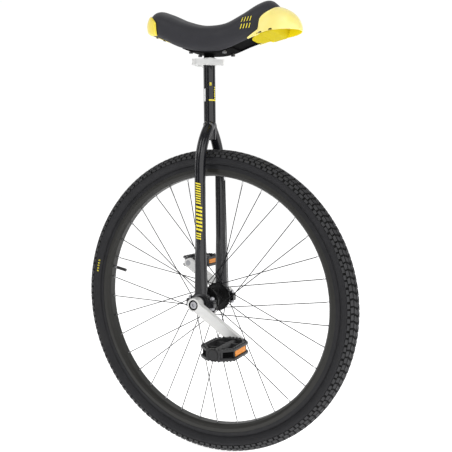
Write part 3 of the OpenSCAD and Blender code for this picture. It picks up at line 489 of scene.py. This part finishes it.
def build_cover():
    """The cover starts a little small and swells to its size, held along its hem."""
    def rings(inset, shorter):
        first, last = SADDLE[0][0] + shorter, SADDLE[-1][0] - shorter
        return [saddle_ring(mix(first, last, i / STATIONS), inset) for i in range(STATIONS + 1)]

    outer, inner = rings(SLACK, SLACK), rings(COVER_INSET, COVER_INSET - 0.2)
    n, rows = len(outer), len(outer[0])
    points = [p for ring in outer for p in ring]
    faces = strip_faces(n, rows) + [(i * rows, (i + 1) * rows, (i + 2) * rows - 1, (i + 1) * rows - 1)
                                    for i in range(n - 1)]
    faces += [tuple(range(rows)), tuple(range(n * rows - 1, (n - 1) * rows - 1, -1))]
    held = [i * rows + j for i in range(n) for j in range(rows) if min(j, rows - 1 - j) < HEM_ROWS]
    filled = pressed(points, faces, held)
    outer = [filled[i * rows:(i + 1) * rows] for i in range(n)]
    points, faces = shell_mesh(outer, inner)
    return mesh_piece("saddle_cover_vinyl", lift(points), faces, vinyl, "saddle", 60)


cover = build_cover()
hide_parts("saddle_cover")


# ---- bumpers ----

# The front bumper is part of an egg; its upper edge against the cover follows SEAM: x, height
EGG_CENTRE = (165, 0, 615)
EGG_SIZE = (71, 47, 58)
SEAM = ((147, 614), (148.5, 622), (149.5, 631), (153, 640), (161, 648.5), (177, 659), (189, 669), (260, 700))
BUMPER_T = 3.0
BUMPER_GAP = 0.5
SEARCH_STEPS = 24


def egg_power(u):
    """Below 1 the egg is squarer than an ellipsoid."""
    return 1 - 0.28 * sind(u) ** 2


def egg_point(u, v, shrink):
    """A point on the egg: u goes round from the front, v goes up, both in degrees."""
    a, b, c = (s - shrink for s in EGG_SIZE)
    out = max(0.0, cosd(v)) ** egg_power(u)
    up = math.copysign(abs(sind(v)) ** egg_power(u), v)
    return (EGG_CENTRE[0] + a * out * cosd(u), EGG_CENTRE[1] + b * out * sind(u), EGG_CENTRE[2] + c * up)


def rim_up(u):
    """Height of the bumper's lower rim over the egg's centre: it drops towards the rear."""
    return 1.5 * cosd(u) - 3.5 - 5 * max(0.0, (abs(u) - 70) / 34) ** 2


def egg_angle(u, up):
    """The v at which the egg has this height over its centre."""
    return math.copysign(math.degrees(math.asin((abs(up) / EGG_SIZE[2]) ** (1 / egg_power(u)))), up)


def egg_rim(u):
    return egg_angle(u, rim_up(u))


def egg_seam(u):
    """The v at which the egg meets the seam's height."""
    low, high = egg_rim(u), 90.0
    for _ in range(SEARCH_STEPS):
        middle = (low + high) / 2
        p = egg_point(u, middle, 0)
        if p[2] < smooth_at(SEAM, 1, p[0], ends_held=True):
            low = middle
        else:
            high = middle
    return low


def off_cover(p, gap):
    """The point moved sideways, if need be, until it is `gap` outside the cover."""
    if p[0] > SADDLE[-1][0] - 1:
        return p
    least = half_width(p[0], p[2]) + gap
    y = abs(p[1])
    room = y - least
    y = least + (room + math.sqrt(room * room + 1.5)) / 2
    return (p[0], math.copysign(y, p[1]) if p[1] else 0.0, p[2])


def rounded(j, rows):
    """A shell's share of its full thickness at row j, so that its rim is rounded: 0.45 on the rim, 1 inside."""
    t = min(j, rows - j)
    return 0.45 + 0.55 * min(1.0, t / 2) ** 0.5


TAIL_X = (118, 121, 125, 129, 133, 137, 141, 144.5)


def front_columns(rows=26):
    """Columns of outer and inner points: the right tail, the dome from right to left, the left tail."""
    outer, inner = [], []

    def tail(side, x):
        """One column of the strip that runs back along the cover's edge, wider towards the dome."""
        w = (x - 118) / 29.8
        ends = (saddle_at(LOW, x) - 1.4 - 2.6 * w * w, saddle_at(LOW, x) + 0.6 + 5.8 * w)
        a, b = [], []
        for j in range(rows + 1):
            z = mix(ends[0], ends[1], j / rows)
            y = half_width(x, z) + 0.2
            b.append((x, side * (y + 0.4 * w * w), z))
            a.append((x, side * (y + 0.6 + 2.4 * rounded(j, rows) + 1.2 * w * w), z))
        return a, b

    for x in TAIL_X:
        a, b = tail(RIGHT, x)
        outer.append(a)
        inner.append(b)
    for u in range(-104, 105, 4):
        rim, seam = egg_rim(u), egg_seam(u)
        vs = [mix(rim, seam, j / rows) for j in range(rows + 1)]
        edge = [BUMPER_T * 0.5 * (1 - rounded(j, rows)) for j in range(rows + 1)]
        outer.append([off_cover(egg_point(u, v, e), BUMPER_GAP + BUMPER_T - e) for v, e in zip(vs, edge)])
        inner.append([off_cover(egg_point(u, v, BUMPER_T - e), BUMPER_GAP + e) for v, e in zip(vs, edge)])
    for x in TAIL_X[::-1]:
        a, b = tail(LEFT, x)
        outer.append(a)
        inner.append(b)
    return outer, inner


def plate(x_cuts, y_cuts, top, thick):
    """A thin plate over a grid of cuts, with its bottom `thick` under top(x)."""
    points, faces = [], []
    cells = [(i, j) for i in range(len(x_cuts) - 1) for j in range(len(y_cuts) - 1)]
    m = len(y_cuts)
    for level in (0, -thick):
        points += [(x, y, top(x) + level) for x in x_cuts for y in y_cuts]
    k = len(x_cuts) * m
    for i, j in cells:
        a, b, c, d = i * m + j, i * m + j + 1, (i + 1) * m + j + 1, (i + 1) * m + j
        faces.append((d, c, b, a))
        faces.append((k + a, k + b, k + c, k + d))
        for other, edge in (((i - 1, j), (a, b)), ((i + 1, j), (c, d)), ((i, j - 1), (d, a)), ((i, j + 1), (b, c))):
            if other not in cells:
                faces.append((edge[0], edge[1], k + edge[1], k + edge[0]))
    return points, faces


FLOOR_FROM, CURL_FROM = 149, 181      # the floor lies behind the dome up to here, and curls up from here
FLOOR_T = 2.2
# Where the painted slot shade lies round the dome, and how far it stands off the shell
SLOT_SHADE_ANGLES = (76, 96)
SLOT_SHADE_LIFT = 0.15


def build_front_bumper():
    outer, inner = front_columns()
    points, faces = shell_mesh(outer, inner)
    shell = mesh_piece("front_bumper_shell", lift(points), faces, yellow, "saddle", 60)
    shell.data.materials.append(yellow_inside)
    for face in shell.data.polygons:
        if min(face.vertices) >= len(outer) * len(outer[0]):
            face.material_index = 1
    x_cuts = [121, 124, 128, 133, 138, 142, 148, 153, 158, 164, 172, 178, 181, 184, 187, 190, 192]
    y_cuts = [-1.0, -0.96, -0.86, -0.68, -0.5, -0.3, -0.1, 0.1, 0.3, 0.5, 0.68, 0.86, 0.96, 1.0]

    def placed(x, y, z):
        """The floor follows the hem behind the dome, has round corners there and curls up at its front."""
        reach = max(44.4 * math.sqrt(1 - ((x - EGG_CENTRE[0]) / 68) ** 2), saddle_at(LOW_WIDE, x) + 0.5)
        x = FLOOR_FROM - (FLOOR_FROM - x) * (1 - 0.55 * y ** 4) if x < FLOOR_FROM else x
        level = min(611.8 + 0.12 * (x - FLOOR_FROM), saddle_at(LOW, x) - 0.2)
        if x > FLOOR_FROM:
            u = math.degrees(math.acos((x - EGG_CENTRE[0]) / EGG_SIZE[0]))
            level = min(level, EGG_CENTRE[2] + rim_up(u) + 1)
        return (x, y * reach, z + level + 0.16 * max(0, x - CURL_FROM) ** 2)

    floor_points, floor_faces = plate(x_cuts, y_cuts, lambda x: 0, FLOOR_T)
    floor_points = [placed(*p) for p in floor_points]
    # Black patches just outside the shell are painted shade, standing for the dark insides of its slots
    slot_shade_patches = [[(u, 0.4), (u + 7 * side, 0.4), (u + 6 * side, 3.6), (u + side, 3.6)]
               for side in (RIGHT, LEFT) for u in (side * place for place in SLOT_SHADE_ANGLES)]

    def on_shell(u, h):
        """Just outside the shell, h over its rim."""
        p = egg_point(u, egg_angle(u, rim_up(u) + h), -SLOT_SHADE_LIFT)
        return off_cover(p, BUMPER_GAP + BUMPER_T + SLOT_SHADE_LIFT)

    slot_shade = print_and_shade_patches("front_bumper_painted_slot_shade", slot_shade_patches, on_shell, black_and_painted_shade, "saddle")
    floor = mesh_piece("front_bumper_floor", lift(floor_points), floor_faces, yellow_floor, "saddle", 40)
    return shell, floor


REAR_EYE = (-105, 0, 661)           # the rear bumper's points lie on rays from here
REAR_REACH = 86                     # degrees to each side


def inside_saddle(p):
    return (p[0] > SADDLE[0][0] and saddle_at(LOW, p[0]) < p[2] < saddle_at(CROWN, p[0])
            and abs(p[1]) < half_width(p[0], p[2]))


def build_rear_bumper():
    """A shell laid over the cover's rear end, and the tab that is screwed under the base."""
    rows, columns = 18, 60
    outer, inner = [], []
    for i in range(columns + 1):
        u = REAR_REACH - 2 * REAR_REACH * i / columns
        part = (abs(u) / REAR_REACH) ** 2
        a, b = [], []
        for j in range(rows + 1):
            v = mix(-25 - 3 * part, 30 - 31 * part ** 1.6, j / rows)
            d = (-cosd(v) * cosd(u), cosd(v) * sind(u), sind(v))
            near, far = 20.0, 110.0
            for _ in range(18):
                half = (near + far) / 2
                if inside_saddle([e + half * c for e, c in zip(REAR_EYE, d)]):
                    near = half
                else:
                    far = half
            b.append([e + (far + BUMPER_GAP) * c for e, c in zip(REAR_EYE, d)])
            thick = BUMPER_GAP + BUMPER_T * rounded(j, rows)
            if i in (0, columns):
                thick *= 0.5
            a.append([e + (far + thick) * c for e, c in zip(REAR_EYE, d)])
        outer.append(a)
        inner.append(b)
    points, faces = shell_mesh(outer, inner)
    shell = mesh_piece("rear_bumper_shell", lift(points), faces, yellow_deep, "saddle", 60)
    x_cuts = [-150, -146, -140, -132, -127, -122]
    y_cuts = [-20, -10, 0, 10, 20]
    tab_points, tab_faces = plate(x_cuts, y_cuts, lambda x: saddle_at(LOW, x) + 2.7, 2.8)
    tab = mesh_piece("rear_bumper_tab", lift(tab_points), tab_faces, yellow_deep, "saddle", 40)
    return shell, tab


front_shell, front_floor = build_front_bumper()
rear_shell, rear_tab = build_rear_bumper()
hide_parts("front_bumper")
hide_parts("rear_bumper")


# ---- plain printed stripes ----


def on_tube(y, radius):
    """Angle from the rider's right towards the front, and height above the axle, on an upright tube."""
    return lambda a, z: (radius * sind(a), y - radius * cosd(a), z)


def bar(a0, a1, z, h, slant):
    """A bar from angle a0 to a1, h high under z, with its second end moved up by slant."""
    return [(a0, z), (a1, z + slant), (a1, z + slant - h), (a0, z - h)]


LEG_Y, LEG_PRINT_R, NECK_PRINT_R = -50.5, 12.82, 14.42
PRINT_LIFT = 0.12

leg_bars = [bar(-24, 34, 279 - 5.6 * k, 2.9, -3) for k in range(9)]
leg_bars += [bar(-24, 48, 226 - 8.6 * k, 4.6, -4) for k in range(7)]
leg_bars += [bar(-24, 34, 164 - 5.6 * k, 2.9, -3) for k in range(3)]
leg_print = print_and_shade_patches("leg_stripes", leg_bars, on_tube(LEG_Y, LEG_PRINT_R), yellow_print, "frame")
neck_bars = [bar(22, 60, 476, 3.2, 0), bar(62, 112, 476, 3.2, 0)]
neck_bars += [bar(78, 94, 507 - 5.2 * k, 3.0, -1) for k in range(6)]
neck_bars += [bar(30, 48, 516 - 2.6 * k, 1.8, 0) for k in range(3)]
neck_print = print_and_shade_patches("neck_stripes", neck_bars, on_tube(0, NECK_PRINT_R), yellow_print, "frame")
neck_label = print_and_shade_patches("neck_label", [bar(-36, -14, 502, 30, 0)], on_tube(0, NECK_PRINT_R), white_print, "frame")


def on_saddle(x, z):
    return (x, -(half_width(x, z) + PRINT_LIFT), z)


saddle_bars = [[(x + 7 * k, z), (x + 7 * k + 2, z), (x + 7 * k - 2, z - 10), (x + 7 * k - 4, z - 10)]
               for x, z in ((111, 648), (108, 633)) for k in range(4)]
saddle_print = print_and_shade_patches("saddle_stripes", saddle_bars, on_saddle, yellow_print, "saddle")


def on_sidewall(phi, theta):
    return tyre_point(theta, phi, PRINT_LIFT)


side_bars = [[(165.6 + 1.2 * k, 208), (166.2 + 1.2 * k, 208), (166.2 + 1.2 * k, 198), (165.6 + 1.2 * k, 198)]
             for k in range(5)]
side_print = print_and_shade_patches("sidewall_marks", side_bars, on_sidewall, yellow_print, "wheel")


# ---- studio ----


def area(name, place, aim, size, power):
    light = bpy.data.lights.new(name, "AREA")
    light.shape = "RECTANGLE"
    light.size, light.size_y = size
    light.energy = power
    lamp = bpy.data.objects.new(name, light)
    bpy.context.collection.objects.link(lamp)
    lamp.location = place
    lamp.rotation_euler = (Vector(aim) - Vector(place)).to_track_quat("-Z", "Y").to_euler()


area("left_strip", (-0.95, -2.1, 1.1), (0, 0, 0.7), (0.30, 2.2), 5)
area("far_left", (-2.3, -0.5, 1.1), (0, 0, 0.7), (0.25, 2.2), 5)
area("right_panel", (1.65, -0.94, 0.9), (0, 0, 0.6), (3.4, 2.0), 34)
area("high_left", (-1.3, -2.4, 3.0), (0, 0, 0.6), (1.4, 1.4), 22)
area("high_right", (1.6, -2.2, 3.0), (0, 0, 0.6), (1.4, 1.4), 15)
area("top", (0, 0.2, 3.0), (0, 0, 0), (2.4, 2.4), 10)

# The side of the studio that the photo looks towards, as a fixed direction in the world
FAR_SIDE = (-0.444, 0.896, 0)
WHITE = (1, 1, 1, 1)
FLOOR_HALF = 30


def fade(tree, coordinate, start, end, low, high):
    """A strength that goes from low to high between two distances towards the far side."""
    place = tree.nodes.new("ShaderNodeTexCoord")
    along = tree.nodes.new("ShaderNodeVectorMath")
    along.operation = "DOT_PRODUCT"
    along.inputs[1].default_value = FAR_SIDE
    strength = tree.nodes.new("ShaderNodeMapRange")
    for socket, value in (("From Min", start), ("From Max", end), ("To Min", low), ("To Max", high)):
        strength.inputs[socket].default_value = value
    tree.links.new(place.outputs[coordinate], along.inputs[0])
    tree.links.new(along.outputs["Value"], strength.inputs["Value"])
    return strength.outputs["Result"]


# The surroundings are white on the far side and grey on the near side
world = bpy.data.worlds.new("studio")
bpy.context.scene.world = world
world.use_nodes = True
background = world.node_tree.nodes["Background"]
background.inputs["Color"].default_value = WHITE
world.node_tree.links.new(fade(world.node_tree, "Generated", 0.1, 0.75, 0.13, 1.02), background.inputs["Strength"])

# The pale floor glows on the far side, so that it meets the surroundings without an edge
floor_mesh = bpy.data.meshes.new("floor")
floor_corners = [(-FLOOR_HALF, -FLOOR_HALF, 0), (FLOOR_HALF, -FLOOR_HALF, 0), (FLOOR_HALF, FLOOR_HALF, 0),
                 (-FLOOR_HALF, FLOOR_HALF, 0)]
floor_mesh.from_pydata(floor_corners, [], [(0, 1, 2, 3)])
floor = bpy.data.objects.new("floor", floor_mesh)
bpy.context.collection.objects.link(floor)
floor_white = surface("floor_white", (0.9, 0.9, 0.9), 0.9, spread=0.01, size=2, bump=0.0, specular=0.0)
floor_shader = floor_white.node_tree.nodes["Principled BSDF"]
floor_shader.inputs["Emission Color"].default_value = WHITE
floor_white.node_tree.links.new(fade(floor_white.node_tree, "Object", -0.9, -0.35, 0.05, 0.85),
                                floor_shader.inputs["Emission Strength"])
floor_mesh.materials.append(floor_white)

# ---- camera ----

camera = bpy.data.objects.new("camera", bpy.data.cameras.new("camera"))
bpy.context.collection.objects.link(camera)
bpy.context.scene.camera = camera
AZIMUTH, ELEVATION, ROLL = 26.375, 0.298, -0.600     # degrees
AIM, DISTANCE = Vector((0.0646, 0, 0.2629 + AXLE)), 1.3978
back = Vector((sind(AZIMUTH) * cosd(ELEVATION), -cosd(AZIMUTH) * cosd(ELEVATION), sind(ELEVATION)))
right = Vector((cosd(AZIMUTH), sind(AZIMUTH), 0))
up = back.cross(right)
side_axis = cosd(ROLL) * right + sind(ROLL) * up
up_axis = -sind(ROLL) * right + cosd(ROLL) * up
camera.location = AIM + back * DISTANCE
camera.rotation_mode = "QUATERNION"
matrix = [[side_axis[i], up_axis[i], back[i]] for i in range(3)]
camera.rotation_quaternion = Matrix(matrix).to_quaternion()
camera.data.lens = 47.38
camera.data.sensor_width = 36
camera.data.shift_x = -0.0193
camera.data.shift_y = -0.0821
bpy.context.scene.view_settings.view_transform = "Standard"
